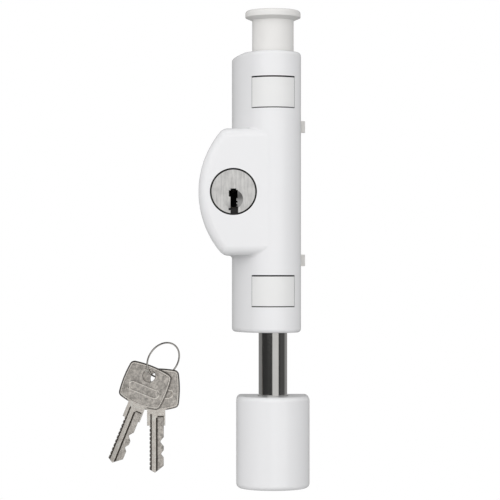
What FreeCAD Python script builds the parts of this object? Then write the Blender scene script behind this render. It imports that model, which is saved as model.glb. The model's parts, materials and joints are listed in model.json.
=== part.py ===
import FreeCAD, Part
import math
import operator
import os
import Sketcher
from FreeCAD import Placement, Rotation, Vector

# A window lock: a casing with a sliding bolt and a keyed cylinder, a keeper, and two keys on a ring.
# Millimetres. +Z runs up the bolt, +X to the right and +Y into the wall.
# The origin is on the casing's back face, behind the bolt and level with the cylinder.

SIZES = (
    ("case_height", 117.4, "casing, end to end along the bolt"),
    ("column_radius", 11.8, "round front of the casing, about the bolt's axis"),
    ("axis_depth", 13.0, "bolt axis in front of the wall"),
    ("case_left", 17.3, "casing's left side, from the bolt's axis"),
    ("side_height", 1.7, "upright strip at the casing's left side"),
    ("wing_start", 50.0, "turn from the casing's front to where its wing begins, in degrees"),
    ("end_round", 1.6, "rounding of the casing's top and bottom edges"),
    ("slope_start", 11.4, "start of the slope at the top left, from the bolt's axis"),
    ("slope_drop", 1.4, "drop of that slope at the casing's left side"),
    ("bulge_reach", 31.05, "cylinder bulge, from the bolt's axis to its far left"),
    ("bulge_half_height", 26.4, "cylinder bulge, from its middle to each shoulder"),
    ("bulge_radius", 39.2, "outline arc of the bulge"),
    ("bulge_setback", 0.15, "front of the bulge behind the front of the column"),
    ("bulge_corner", 4.4, "outline rounding where the arc meets a shoulder"),
    ("bulge_edge", 4.0, "rounding of the bulge's front edge"),
    ("bulge_root", 1.5, "hollow rounding between a shoulder and the wing"),
    ("free_gap", 0.3, "gap between pieces that move past each other"),
    ("seat_gap", 0.05, "gap between pieces that sit in each other"),
    ("run_gap", 0.08, "radial gap of a running fit"),
    ("plate_thickness", 2.0, "back plate"),
    ("plate_margin", 1.8, "casing wall round the back plate"),
    ("tab_height", 5.0, "side lug of the back plate"),
    ("tab_spacing", 56.8, "between the side lugs"),
    ("tab_reach", 2.0, "side lug, beyond the casing"),
    ("fix_from_end", 17.3, "fixing hole and its cover, from the nearer end of the casing"),
    ("fix_hole_radius", 2.25, "fixing hole"),
    ("fix_head_radius", 4.2, "fixing screw's head"),
    ("cap_width", 17.6, "screw cover"),
    ("cap_height", 12.7, "screw cover"),
    ("cap_thickness", 1.5, "screw cover"),
    ("cap_side_gap", 0.1, "gap at a cover's sides"),
    ("cap_foot_gap", 0.25, "gap at a cover's bottom edge"),
    ("cap_slot", 0.4, "gap at a cover's top edge, for lifting it out"),
    ("cap_ledge", 1.6, "ledge that a cover sits on"),
    ("clip_width", 8.0, "snap tongue of a cover"),
    ("clip_thickness", 1.0, "snap tongue of a cover"),
    ("bolt_radius", 6.0, "bolt"),
    ("bolt_travel", 22.0, "bolt, from locked to drawn up"),
    ("bolt_entry", 20.0, "bolt inside the keeper when locked"),
    ("bolt_chamfer", 1.0, "lower end of the bolt"),
    ("bolt_gap", 0.4, "radial gap round the bolt in the casing and keeper"),
    ("notch_height", 7.0, "locking notch in the back of the bolt"),
    ("knob_radius", 11.6, "rim of the knob"),
    ("knob_rim", 2.85, "thickness of the knob's rim"),
    ("knob_edge", 1.2, "rounding of the rim's upper edge"),
    ("knob_taper", 1.2, "drop of the rim's underside from its edge to the shaft"),
    ("knob_crown", 4.0, "knob material above the bolt"),
    ("shaft_radius", 8.7, "shaft of the knob"),
    ("shaft_gap", 0.55, "radial gap round the knob's shaft"),
    ("shaft_showing", 14.6, "shaft between the casing and the rim when locked"),
    ("shaft_bore_depth", 27.3, "bore for the shaft, from the top of the casing"),
    ("washer_thickness", 1.5, "damper under the shaft"),
    ("knob_pin_radius", 1.5, "cross pin of the knob"),
    ("knob_pin_height", 8.0, "cross pin above the shaft's lower end"),
    ("bush_height", 8.0, "guide bush"),
    ("bush_recess", 0.5, "guide bush above the bottom of the casing"),
    ("ring_radius", 8.2, "stop ring on the bolt"),
    ("ring_thickness", 1.2, "stop ring on the bolt"),
    ("ring_groove", 0.7, "depth of the stop ring's groove"),
    ("ring_rest", 0.8, "stop ring above the guide bush when locked"),
    ("keeper_distance", 26.6, "casing to keeper"),
    ("keeper_radius", 15.4, "round front of the keeper, about the bolt's axis"),
    ("keeper_height", 38.6, "keeper"),
    ("keeper_edge", 2.0, "rounding of the keeper's edges"),
    ("keeper_wall", 1.6, "keeper cover"),
    ("keeper_bore", 24.0, "depth of the bolt's hole in the keeper"),
    ("keeper_fix_spacing", 20.0, "between the keeper's fixing holes"),
    ("keeper_fix_drop", 10.0, "upper fixing hole below the keeper's top"),
    ("keeper_web", 6.0, "keeper material behind the lower screw's head"),
    ("cylinder_offset", 16.5, "cylinder axis to the left of the bolt's axis"),
    ("face_radius", 9.2, "cylinder face"),
    ("face_gap", 0.4, "ring gap round the cylinder face"),
    ("face_recess", 0.3, "cylinder face behind the column's front"),
    ("face_thickness", 2.2, "cylinder face"),
    ("collar_thickness", 1.0, "casing wall between the face and the housing"),
    ("barrel_radius", 6.3, "plug inside the housing"),
    ("barrel_end", 4.1, "plug's inner end in front of the wall"),
    ("housing_radius", 8.2, "cylinder housing"),
    ("housing_end", 6.0, "housing's inner end in front of the wall"),
    ("tower_width", 6.0, "pin tower of the housing"),
    ("tower_height", 15.2, "top of the pin tower above the cylinder's axis"),
    ("strip_thickness", 0.8, "strip over the pin chambers"),
    ("strip_width", 4.4, "strip over the pin chambers"),
    ("ear_width", 6.0, "fixing ear of the housing"),
    ("ear_reach", 14.5, "bottom of the ear below the cylinder's axis"),
    ("ear_thickness", 2.5, "fixing ear of the housing"),
    ("ear_hole_drop", 11.4, "hole in the ear below the cylinder's axis"),
    ("small_screw_radius", 1.5, "shank of the housing's screw"),
    ("ear_screw_length", 10.0, "shank of the housing's screw"),
    ("small_head_radius", 2.8, "head of the housing's screw"),
    ("small_head_height", 1.5, "head of the housing's screw"),
    ("pin_count", 5, "pin chambers"),
    ("pin_pitch", 2.65, "between pin chambers"),
    ("pin_first", 2.2, "first pin chamber behind the housing's front"),
    ("pin_radius", 1.3, "lock pins"),
    ("pin_tip", 0.8, "pointed end of a key pin"),
    ("driver_length", 3.0, "driver pin"),
    ("shear_gap", 0.18, "pin ends from the shear line"),
    ("spring_wire", 0.16, "radius of the pin springs' wire"),
    ("spring_radius", 1.0, "mean radius of a pin spring"),
    ("spring_turns", 5, "turns of a pin spring"),
    ("keyway_top", 1.25, "keyway above the cylinder's axis"),
    ("keyway_width", 2.4, "keyway between its wards"),
    ("keyhole_radius", 4.0, "hollow that leads a key into the keyway"),
    ("keyhole_drop", 3.2, "middle of the hollow below the cylinder's axis"),
    ("keyhole_depth", 1.1, "hollow that leads a key into the keyway"),
    ("keyhole_floor", 0.6, "radius of the hollow at its deepest"),
    ("plug_clip_radius", 7.4, "retaining clip on the plug"),
    ("plug_clip_thickness", 0.8, "retaining clip on the plug"),
    ("plug_clip_groove", 0.6, "depth of the retaining clip's groove"),
    ("plug_end_play", 0.1, "retaining clip behind the housing"),
    ("crank_throw", 4.2, "crank pin from the plug's axis"),
    ("crank_radius", 1.2, "crank pin"),
    ("crank_length", 1.6, "crank pin beyond the plug"),
    ("crank_depth", 1.5, "crank pin inside the plug"),
    ("slider_thickness", 1.5, "locking slider"),
    ("slider_half_height", 6.8, "locking slider"),
    ("slider_web", 2.4, "slider left of its slot"),
    ("nose_width", 3.2, "nose of the slider, along its travel"),
    ("nose_half_height", 3.0, "nose of the slider"),
    ("nose_entry", 2.0, "nose of the slider inside the bolt's notch when it is turned out"),
    ("nose_gap", 0.33, "gap between the parked nose and the bolt"),
    ("key_thickness", 1.8, "key"),
    ("bow_half_width", 9.76, "bow of a key at its widest"),
    ("bow_side_radius", 47.0, "curve of the bow's sides"),
    ("bow_widest", 4.2, "widest place of the bow below the ring hole"),
    ("bow_top", 3.46, "top corners of the bow above the ring hole"),
    ("bow_top_rise", 0.94, "middle of the bow's top edge above its corners"),
    ("bow_bottom", 11.84, "bottom corners of the bow below the ring hole"),
    ("bow_bottom_drop", 1.5, "middle of the bow's bottom edge below its corners"),
    ("bow_corner", 2.2, "rounding of the bow's corners"),
    ("bow_rim", 1.1, "raised rim of the bow"),
    ("bow_rim_height", 0.15, "raised rim of the bow"),
    ("key_hole", 2.6, "radius of the ring hole"),
    ("neck_left", 4.0, "key's neck, left of its middle"),
    ("neck_right", 3.55, "key's neck, right of its middle"),
    ("neck_end", 19.6, "end of the neck below the ring hole"),
    ("blade_half_width", 2.95, "key blade"),
    ("blade_end", 39.4, "tip of the blade below the ring hole"),
    ("tip_left", 0.67, "tip of the blade left of its middle"),
    ("tip_left_rise", 1.3, "taper of the blade's end on its left"),
    ("tip_right_rise", 2.9, "taper of the blade's end on its right"),
    ("cut_flat", 0.6, "flat bottom of a cut in the blade"),
    ("cut_slope", 1.2, "run of a cut's flank for its depth"),
    ("notch_depth", 0.45, "small cuts down the blade's left side"),
    ("notch_half", 0.4, "half a small cut's mouth"),
    ("notch_pitch", 1.75, "step from one small cut to the next"),
    ("notch_start", 1.1, "first small cut, below the neck's end"),
    ("groove_width", 0.5, "left groove along the blade"),
    ("groove_depth", 0.4, "left groove along the blade"),
    ("groove_left", 2.35, "left groove, left of the blade's middle"),
    ("groove_start", 15.2, "top of the left groove below the ring hole"),
    ("step_depth", 0.4, "thin right side of the blade"),
    ("step_left", 0.35, "thin side's start, right of the blade's middle"),
    ("step_start", 16.0, "top of the thin side below the ring hole"),
    ("deep_groove_left", 0.25, "deep groove's wall, left of the blade's middle"),
    ("deep_groove_depth", 0.6, "deep groove beside the thin side"),
    ("deep_groove_start", 16.7, "top of the deep groove below the ring hole"),
    ("front_key_side", 5.89, "front key's hole to the left of the key ring's middle"),
    ("front_key_ahead", 0.92, "front key's middle in front of the key ring's middle"),
    ("front_key_drop", 6.58, "front key's hole below the key ring's middle"),
    ("front_key_tilt", 22.0, "front key's lean, in degrees"),
    ("back_key_side", 2.82, "back key's hole to the left of the key ring's middle"),
    ("back_key_behind", 1.38, "back key's middle behind the key ring's middle"),
    ("back_key_drop", 7.94, "back key's hole below the key ring's middle"),
    ("key_ring_radius", 7.83, "key ring, to the middle of its wire"),
    ("key_ring_wire", 0.36, "radius of the ring's wire"),
    ("key_ring_x", -46.0, "middle of the key ring"),
    ("key_ring_y", -13.98, "middle of the key ring"),
    ("key_ring_z", -70.3, "middle of the key ring"),
    ("key_ring_tilt", 57.35, "slope of the ring's long axis, in degrees"),
    ("key_ring_angle", 40.66, "turn of the ring about that axis, in degrees"),
)

# Wards of the keyway: side, middle below the cylinder's axis, height and depth.
WARDS = (
    (-1, 0.8, 2.6, 0.7),
    (-1, 7.3, 0.9, 0.8),
    (1, 1.0, 3.3, 0.55),
    (1, 4.2, 0.8, 0.55),
    (1, 5.6, 0.8, 0.5),
    (1, 7.9, 3.4, 0.75),
)

# Cuts in a key's blade: middle below the ring hole and depth.
KEY_CUTS = (
    (26.4, 1.35),
    (31.5, 1.0),
)

# Small cuts down the left side of a key's blade.
NOTCHES = 10

# Lengths of the key pins, from the front.
KEY_PIN_LENGTHS = (5.5, 6.2, 5.3, 6.0, 5.6)

doc = FreeCAD.newDocument("WindowLock")
sheet = doc.addObject("Spreadsheet::Sheet", "Sizes")
for row, (alias, value, meaning) in enumerate(SIZES, start=1):
    sheet.set(f"A{row}", meaning)
    sheet.set(f"B{row}", str(value))
    sheet.setAlias(f"B{row}", alias)
doc.recompute()

OPERATIONS = {"+": operator.add, "-": operator.sub, "*": operator.mul, "/": operator.truediv}
nodes = []


class Size:
    """A length or angle: its expression in the spreadsheet's words and its present value."""

    def __init__(self, text, value):
        self.text = text
        self.value = value

    def __add__(self, other):
        return combine(self, "+", other)

    def __radd__(self, other):
        return combine(other, "+", self)

    def __sub__(self, other):
        return combine(self, "-", other)

    def __rsub__(self, other):
        return combine(other, "-", self)

    def __mul__(self, other):
        return combine(self, "*", other)

    def __rmul__(self, other):
        return combine(other, "*", self)

    def __truediv__(self, other):
        return combine(self, "/", other)

    def __neg__(self):
        return combine(0, "-", self)


def as_size(size):
    return size if isinstance(size, Size) else Size(str(size), float(size))


def combine(left, sign, right):
    left = as_size(left)
    right = as_size(right)
    return Size(f"({left.text} {sign} {right.text})", OPERATIONS[sign](left.value, right.value))


def root(size):
    return Size(f"sqrt({size.text})", math.sqrt(size.value))


def sine(angle):
    return Size(f"sin({angle.text})", math.sin(math.radians(angle.value)))


def cosine(angle):
    return Size(f"cos({angle.text})", math.cos(math.radians(angle.value)))


class Named:
    """Every size of the spreadsheet by its alias."""


s = Named()
for alias, _, _ in SIZES:
    setattr(s, alias, Size(f"Sizes.{alias}", float(sheet.get(alias))))


# Primitives and booleans with bound sizes

ALONG = {
    "X": Rotation(Vector(0, 1, 0), 90),
    "Y": Rotation(Vector(1, 0, 0), -90),
    "Z": Rotation(),
}


def bind(thing, **sizes):
    for name, size in sizes.items():
        thing.setExpression(name, as_size(size).text)
    return thing


def place(thing, x=0, y=0, z=0, turn=Rotation()):
    thing.Placement = Placement(Vector(as_size(x).value, as_size(y).value, as_size(z).value), turn)
    for axis, size in (("x", x), ("y", y), ("z", z)):
        thing.setExpression(f"Placement.Base.{axis}", as_size(size).text)
    return thing


def cylinder(radius, start, end, along="Z", x=0, y=0, z=0):
    """A cylinder whose axis passes through x, y, z and which runs from start to end along it."""
    rod = bind(doc.addObject("Part::Cylinder", "Cylinder"), Radius=radius, Height=as_size(end) - start)
    spot = {"X": (start, y, z), "Y": (x, start, z), "Z": (x, y, start)}[along]
    return place(rod, *spot, turn=ALONG[along])


def cone(start_radius, end_radius, start, end, along="Z", x=0, y=0, z=0):
    taper = doc.addObject("Part::Cone", "Cone")
    bind(taper, Radius1=start_radius, Radius2=end_radius, Height=as_size(end) - start)
    spot = {"X": (start, y, z), "Y": (x, start, z), "Z": (x, y, start)}[along]
    return place(taper, *spot, turn=ALONG[along])


def box(x, y, z):
    """A box between two limits on each axis."""
    block = doc.addObject("Part::Box", "Box")
    spans = [as_size(high) - low for low, high in (x, y, z)]
    bind(block, Length=spans[0], Width=spans[1], Height=spans[2])
    return place(block, x[0], y[0], z[0])


def joined(*shapes):
    if len(shapes) == 1:
        return shapes[0]
    fusion = doc.addObject("Part::MultiFuse", "Fusion")
    fusion.Shapes = list(shapes)
    fusion.Refine = True
    return fusion


def cut(base, *tools):
    result = doc.addObject("Part::Cut", "Cut")
    result.Base = base
    result.Tool = joined(*tools)
    result.Refine = True
    return result


def shared(*shapes):
    overlap = doc.addObject("Part::MultiCommon", "Common")
    overlap.Shapes = list(shapes)
    return overlap


def node(thing, label):
    thing.Label = label
    nodes.append(thing)
    return thing


# Sketches, pads, revolutions and fillets with bound sizes


def body(name):
    return doc.addObject("PartDesign::Body", name)


def sketch_on(owner, role, offset=0):
    plane = next(item for item in owner.Origin.OriginFeatures if item.Role == role)
    drawing = owner.newObject("Sketcher::SketchObject", "Sketch")
    drawing.AttachmentSupport = [(plane, "")]
    drawing.MapMode = "FlatFace"
    bind(drawing, **{"AttachmentOffset.Base.z": offset})
    return drawing


def pin_point(drawing, shape_index, point, x=None, y=None):
    """Hold a point of a drawn shape at a distance from the sketch's origin."""
    for kind, size in (("DistanceX", x), ("DistanceY", y)):
        if size is not None:
            size = as_size(size)
            constraint = Sketcher.Constraint(kind, -1, 1, shape_index, point, size.value)
            index = drawing.addConstraint(constraint)
            drawing.setExpression(f"Constraints[{index}]", size.text)


def outline(drawing, corners, bends=None):
    """A closed outline through the corners.

    bends maps a corner's index to the arc that leaves it: the arc's centre, 1 for anticlockwise or
    -1 for clockwise, and what holds its far end: "x", "y", "tangent", or "both" where the arc runs
    to a corner that is held already, which leaves its centre free to move sideways.
    """
    bends = bends or {}
    points = [Vector(as_size(x).value, as_size(y).value, 0) for x, y in corners]
    ends = []
    for i, start in enumerate(points):
        finish = points[(i + 1) % len(points)]
        if i in bends:
            centre = Vector(as_size(bends[i][0]).value, as_size(bends[i][1]).value, 0)
            angles = [math.atan2((p - centre).y, (p - centre).x) for p in (start, finish)]
            circle = Part.Circle(centre, Vector(0, 0, 1), (start - centre).Length)
            turn = bends[i][2]
            arc = Part.ArcOfCircle(circle, *angles[::turn])
            index = drawing.addGeometry(arc, False)
            pin_point(drawing, index, 3, None if bends[i][3] == "both" else bends[i][0], bends[i][1])
            ends.append((index, 1, 2) if turn > 0 else (index, 2, 1))
        else:
            index = drawing.addGeometry(Part.LineSegment(start, finish), False)
            ends.append((index, 1, 2))
    for i, (x, y) in enumerate(corners):
        before, _, before_end = ends[i - 1]
        after, after_start, _ = ends[i]
        held = bends[(i - 1) % len(corners)][3] if (i - 1) % len(corners) in bends else "both"
        meeting = "Tangent" if held == "tangent" else "Coincident"
        drawing.addConstraint(Sketcher.Constraint(meeting, before, before_end, after, after_start))
        kept_x = x if held in ("both", "x") else None
        kept_y = y if held in ("both", "y") else None
        pin_point(drawing, after, after_start, kept_x, kept_y)
    return drawing


def pad(owner, drawing, length):
    feature = owner.newObject("PartDesign::Pad", "Pad")
    feature.Profile = drawing
    bind(feature, Length=length)
    owner.Tip = feature
    doc.recompute()
    return owner


def revolved(name, corners):
    """A body turned about the vertical axis from an outline of radius and height."""
    owner = body(name)
    drawing = outline(sketch_on(owner, "XZ_Plane"), corners)
    feature = owner.newObject("PartDesign::Revolution", "Revolution")
    feature.Profile = drawing
    feature.ReferenceAxis = (drawing, ["V_Axis"])
    feature.Angle = 360
    owner.Tip = feature
    doc.recompute()
    return owner


def round_edges(owner, radius, wanted):
    """Fillet the edges of the body's last feature that the test picks."""
    base = owner.Tip
    names = [f"Edge{i}" for i, edge in enumerate(base.Shape.Edges, start=1) if wanted(edge)]
    feature = owner.newObject("PartDesign::Fillet", "Fillet")
    feature.Base = (base, names)
    bind(feature, Radius=radius)
    owner.Tip = feature
    doc.recompute()
    return owner


def near(first, second):
    return abs(first - as_size(second).value) < 1e-4


def level(edge, height):
    """True for an edge that lies at one height."""
    limits = edge.BoundBox
    return near(limits.ZMin, height) and near(limits.ZMax, height)


def rim_at(height, radius):
    """A test for a full circle at a height with a radius."""

    def wanted(edge):
        return level(edge, height) and near(edge.BoundBox.XMax, radius)

    return wanted


# Shared places

case_top = s.case_height / 2
case_bottom = -case_top
front = -(s.axis_depth + s.column_radius)
keeper_top = case_bottom - s.keeper_distance
keeper_bottom = keeper_top - s.keeper_height
fix_heights = (case_top - s.fix_from_end, case_bottom + s.fix_from_end)
shaft_bore = s.shaft_radius + s.shaft_gap
ledge = case_top - s.shaft_bore_depth
shaft_bottom = ledge + s.washer_thickness + s.free_gap
knob_top = case_top + s.shaft_showing + s.knob_rim
bush_top = case_bottom + s.bush_recess + s.bush_height
ring_bottom = bush_top + s.ring_rest
ring_top = ring_bottom + s.ring_thickness
lower_bore_top = ring_top + s.bolt_travel + s.free_gap
bolt_bottom = keeper_top - s.bolt_entry
cylinder_x = -s.cylinder_offset
face_front = front + s.face_recess
face_back = face_front + s.face_thickness
collar_front = face_back + s.free_gap
housing_front = collar_front + s.collar_thickness
housing_back = -s.housing_end
barrel_back = -s.barrel_end
clip_front = housing_back + s.plug_end_play
clip_back = clip_front + s.plug_clip_thickness
slider_front = barrel_back + s.free_gap
slider_back = slider_front + s.slider_thickness
plate_front = -s.plate_thickness
# How far a cutter runs past the face that it opens.
overcut = s.plate_thickness / 2
crank_reach = s.crank_throw * math.sqrt(0.5)
slider_travel = 2 * crank_reach
slot_half_width = s.crank_radius + s.free_gap
crank_x = cylinder_x - crank_reach
slider_left = crank_x - slot_half_width - s.slider_web
nose_reach = s.axis_depth - s.bolt_radius + s.nose_entry
nose_tip = -(root(s.nose_entry * (2 * s.bolt_radius - s.nose_entry)) + s.nose_gap)
pin_places = [housing_front + s.pin_first + s.pin_pitch * i for i in range(int(s.pin_count.value))]
shear_height = s.barrel_radius + s.run_gap / 2


# Casing


def bulge_body(name, margin, depth):
    """A slab with the bulge's outline, drawn in by a margin, in front of the wall."""
    radius = s.bulge_radius - margin
    middle = s.bulge_radius - s.bulge_reach
    shoulder = s.bulge_half_height - margin
    shoulder_x = middle - root(radius * radius - shoulder * shoulder)
    owner = body(name)
    drawing = sketch_on(owner, "XZ_Plane")
    corners = ((0, shoulder), (shoulder_x, shoulder), (shoulder_x, -shoulder), (0, -shoulder))
    outline(drawing, corners, {1: (middle, 0, 1, "y")})
    return pad(owner, drawing, depth), shoulder_x, shoulder


def casing_shell():
    column = body("column")
    drawing = sketch_on(column, "XY_Plane", case_bottom)
    across = sine(s.wing_start)
    ahead = cosine(s.wing_start)
    start = (-across * s.column_radius, -s.axis_depth - ahead * s.column_radius)
    run = s.case_left + start[0]
    rise = -s.side_height - start[1]
    bend = (run * run + rise * rise) / (2 * (rise * ahead - run * across))
    middle = (start[0] + bend * across, start[1] + bend * ahead)
    corners = (
        (s.column_radius, 0),
        (s.column_radius, -s.axis_depth),
        start,
        (-s.case_left, -s.side_height),
        (-s.case_left, 0),
    )
    bends = {1: (0, -s.axis_depth, -1, "tangent"), 2: (middle[0], middle[1], -1, "both")}
    outline(drawing, corners, bends)
    pad(column, drawing, s.case_height)
    slope_foot = slope_top(column)

    def end_edge(edge):
        at_top = edge.BoundBox.ZMin > slope_foot.value - 1e-4
        return (at_top or level(edge, case_bottom)) and edge.BoundBox.YMin < -1e-4

    round_edges(column, s.end_round, end_edge)
    depth = s.axis_depth + s.column_radius - s.bulge_setback
    bulge, shoulder_x, shoulder = bulge_body("bulge", 0, depth)

    def outline_corner(edge):
        limits = edge.BoundBox
        across = near(limits.XMin, shoulder_x) and near(limits.XMax, shoulder_x)
        return across and limits.ZLength < 1e-4

    round_edges(bulge, s.bulge_corner, outline_corner)

    def front_edge(edge):
        limits = edge.BoundBox
        return near(limits.YMin, -depth) and near(limits.YMax, -depth) and limits.XMin < -1e-4

    round_edges(bulge, s.bulge_edge, front_edge)
    shell = joined(column, bulge)
    doc.recompute()
    return hollow_rounding(shell, shoulder)


def slope_top(column):
    """Slope the top of the wing down to its left side."""
    fall = s.slope_drop / (s.case_left - s.slope_start)
    left = s.case_left + overcut
    corners = (
        (-s.slope_start, case_top),
        (-left, case_top - (left - s.slope_start) * fall),
        (-left, case_top),
    )
    drawing = outline(sketch_on(column, "XZ_Plane"), corners)
    pocket = column.newObject("PartDesign::Pocket", "TopSlope")
    pocket.Profile = drawing
    pocket.Midplane = True
    bind(pocket, Length=2 * (s.axis_depth + s.column_radius + overcut))
    column.Tip = pocket
    doc.recompute()
    return case_top - s.slope_drop


def hollow_rounding(shell, shoulder):
    """Rounding where the wing and the side run into the bulge's shoulders, limited by the ledge there."""
    left = -s.case_left.value
    seams = []
    ledges = []
    for index, edge in enumerate(shell.Shape.Edges, start=1):
        if level(edge, shoulder) or level(edge, -shoulder):
            limits = edge.BoundBox
            if limits.XMin > left - 1e-4:
                seams.append(index)
            elif limits.YMin > -1e-4:
                ledges.append(edge.Length)
    fillet = doc.addObject("Part::Fillet", "HollowRounding")
    fillet.Base = shell
    radius = min([s.bulge_root.value] + [0.9 * ledge for ledge in ledges])
    fillet.Edges = [(index, radius, radius) for index in seams]
    doc.recompute()
    return fillet


def cap_seat(height):
    """Curved recess and window for a screw cover."""
    half_width = s.cap_width / 2 + s.cap_side_gap
    low = height - s.cap_height / 2 - s.cap_foot_gap
    high = height + s.cap_height / 2 + s.cap_slot
    recess = cut(
        box((-half_width, half_width), (front - overcut, -s.axis_depth), (low, high)),
        cylinder(s.column_radius - s.cap_thickness, low - overcut, high + overcut, y=-s.axis_depth),
    )
    window = box(
        (-half_width + s.cap_ledge, half_width - s.cap_ledge),
        (front - overcut, -s.axis_depth),
        (low + s.cap_ledge, high - s.cap_ledge),
    )
    return [recess, window]


def fixing_hole(height, radius, floor):
    """Hole through the back with a countersink that starts at the bore's floor."""
    sink = s.fix_head_radius - radius
    return [
        cylinder(radius, floor, overcut, "Y", z=height),
        cone(s.fix_head_radius, radius, floor, floor + sink, "Y", z=height),
    ]


def body_casing():
    bolt_bore = s.bolt_radius + s.bolt_gap
    hollows = [
        cylinder(bolt_bore, case_bottom - overcut, case_top + overcut, y=-s.axis_depth),
        cylinder(shaft_bore, ledge, case_top + overcut, y=-s.axis_depth),
        cylinder(shaft_bore, case_bottom - overcut, lower_bore_top, y=-s.axis_depth),
    ]
    for height in fix_heights:
        hollows += cap_seat(height)
        hollows += fixing_hole(height, s.fix_hole_radius, shaft_bore - s.axis_depth)
    at_cylinder = {"along": "Y", "x": cylinder_x}
    half_tower = s.tower_width / 2 + s.seat_gap
    half_ear = s.ear_width / 2 + s.seat_gap
    chamber_front = barrel_back - s.free_gap
    hollows += [
        cylinder(s.face_radius + s.face_gap, front - overcut, collar_front, **at_cylinder),
        cylinder(s.barrel_radius + s.free_gap, collar_front, housing_front, **at_cylinder),
        cylinder(s.housing_radius + s.seat_gap, housing_front, 0, **at_cylinder),
        box(
            (cylinder_x - half_tower, cylinder_x + half_tower),
            (housing_front, 0),
            (0, s.tower_height + s.seat_gap),
        ),
        box(
            (cylinder_x - half_ear, cylinder_x + half_ear),
            (housing_back - s.ear_thickness, 0),
            (-s.ear_reach - s.seat_gap, 0),
        ),
        cylinder(
            s.small_screw_radius + s.seat_gap,
            housing_back - s.ear_screw_length - s.free_gap,
            0,
            "Y",
            x=cylinder_x,
            z=-s.ear_hole_drop,
        ),
        box(
            (slider_left - s.free_gap, nose_tip + slider_travel + s.free_gap),
            (chamber_front, 0),
            (-s.slider_half_height - s.free_gap, s.slider_half_height + s.free_gap),
        ),
        box(
            (nose_tip - s.nose_width - s.free_gap, nose_tip + slider_travel + s.free_gap),
            (-nose_reach - s.free_gap, 0),
            (-s.nose_half_height - s.free_gap, s.nose_half_height + s.free_gap),
        ),
    ]
    hollows += back_plate_shape(0)
    return node(cut(casing_shell(), *hollows), "body_casing")


# Back plate with its side lugs


def back_plate_shape(gap):
    """Plate and lugs, smaller than their seat by the gap."""
    margin = s.plate_margin + gap
    slab = box(
        (-s.case_left + margin, s.column_radius - margin),
        (plate_front, 0),
        (case_bottom + margin, case_top - margin),
    )
    wing = bulge_body("bulge_plate", margin, s.plate_thickness)[0]
    lugs = []
    for side in (1, -1):
        middle = side * s.tab_spacing / 2
        lugs.append(
            box(
                (0, s.column_radius + s.tab_reach),
                (plate_front, 0),
                (middle - s.tab_height / 2 + gap, middle + s.tab_height / 2 - gap),
            )
        )
    return [slab, wing] + lugs


def back_plate():
    hole_front = -s.plate_thickness - overcut
    holes = [cylinder(s.fix_hole_radius, hole_front, overcut, "Y", z=height) for height in fix_heights]
    return node(cut(joined(*back_plate_shape(s.seat_gap)), *holes), "back_plate")


# Screw covers


def cap(label, height):
    half_width = s.cap_width / 2
    half_height = s.cap_height / 2
    low = height - half_height
    high = height + half_height
    ledge_radius = s.column_radius - s.cap_thickness
    plate = shared(
        cut(
            cylinder(s.column_radius, low, high, y=-s.axis_depth),
            cylinder(ledge_radius + s.seat_gap, low - overcut, high + overcut, y=-s.axis_depth),
        ),
        box((-half_width, half_width), (front - overcut, -s.axis_depth), (low, high)),
    )
    tongues = []
    for side, gap in ((1, s.cap_slot), (-1, s.cap_foot_gap)):
        edge = height + side * (half_height + gap - s.cap_ledge - s.seat_gap)
        limits = (edge - s.clip_thickness, edge) if side > 0 else (edge, edge + s.clip_thickness)
        tongues.append(
            box(
                (-s.clip_width / 2, s.clip_width / 2),
                (front + s.cap_thickness / 2, -s.axis_depth - shaft_bore - s.free_gap),
                limits,
            )
        )
    return node(joined(plate, *tongues), label)


# Knob, bolt and what guides them


def knob():
    socket = s.bolt_radius + s.seat_gap
    rim_bottom = case_top + s.shaft_showing
    spigot_top = knob_top - s.knob_crown
    corners = (
        (0, spigot_top),
        (socket, spigot_top),
        (socket, shaft_bottom),
        (s.shaft_radius, shaft_bottom),
        (s.shaft_radius, rim_bottom - s.knob_taper),
        (s.knob_radius, rim_bottom),
        (s.knob_radius, knob_top),
        (0, knob_top),
    )
    turned = revolved("knob_turned", corners)
    round_edges(turned, s.knob_edge, rim_at(knob_top, s.knob_radius))
    round_edges(turned, s.knob_edge / 4, rim_at(rim_bottom, s.knob_radius))
    place(turned, y=-s.axis_depth)
    pin_hole = cylinder(
        s.knob_pin_radius + s.seat_gap,
        -s.shaft_radius - overcut,
        s.shaft_radius + overcut,
        "X",
        y=-s.axis_depth,
        z=shaft_bottom + s.knob_pin_height,
    )
    node(cut(turned, pin_hole), "knob")
    half_pin = s.shaft_radius - s.free_gap
    pin = cylinder(
        s.knob_pin_radius, -half_pin, half_pin, "X", y=-s.axis_depth, z=shaft_bottom + s.knob_pin_height
    )
    node(pin, "knob_pin")


def bolt():
    spigot_top = knob_top - s.knob_crown - s.seat_gap
    flank = s.bolt_radius - s.bolt_chamfer
    corners = (
        (0, bolt_bottom),
        (flank, bolt_bottom),
        (s.bolt_radius, bolt_bottom + s.bolt_chamfer),
        (s.bolt_radius, spigot_top),
        (0, spigot_top),
    )
    turned = place(revolved("bolt_turned", corners), y=-s.axis_depth)
    notch_floor = -nose_reach - s.free_gap
    cuts = []
    for middle in (0, -s.bolt_travel):
        cuts.append(
            box(
                (-s.bolt_radius - overcut, s.bolt_radius + overcut),
                (notch_floor, 0),
                (middle - s.notch_height / 2, middle + s.notch_height / 2),
            )
        )
    groove_radius = s.bolt_radius - s.ring_groove
    cuts.append(
        cut(
            cylinder(s.bolt_radius + overcut, ring_bottom, ring_top, y=-s.axis_depth),
            cylinder(groove_radius, ring_bottom - overcut, ring_top + overcut, y=-s.axis_depth),
        )
    )
    cuts.append(
        cylinder(
            s.knob_pin_radius + s.seat_gap,
            -s.bolt_radius - overcut,
            s.bolt_radius + overcut,
            "X",
            y=-s.axis_depth,
            z=shaft_bottom + s.knob_pin_height,
        )
    )
    node(cut(turned, *cuts), "bolt")


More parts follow.
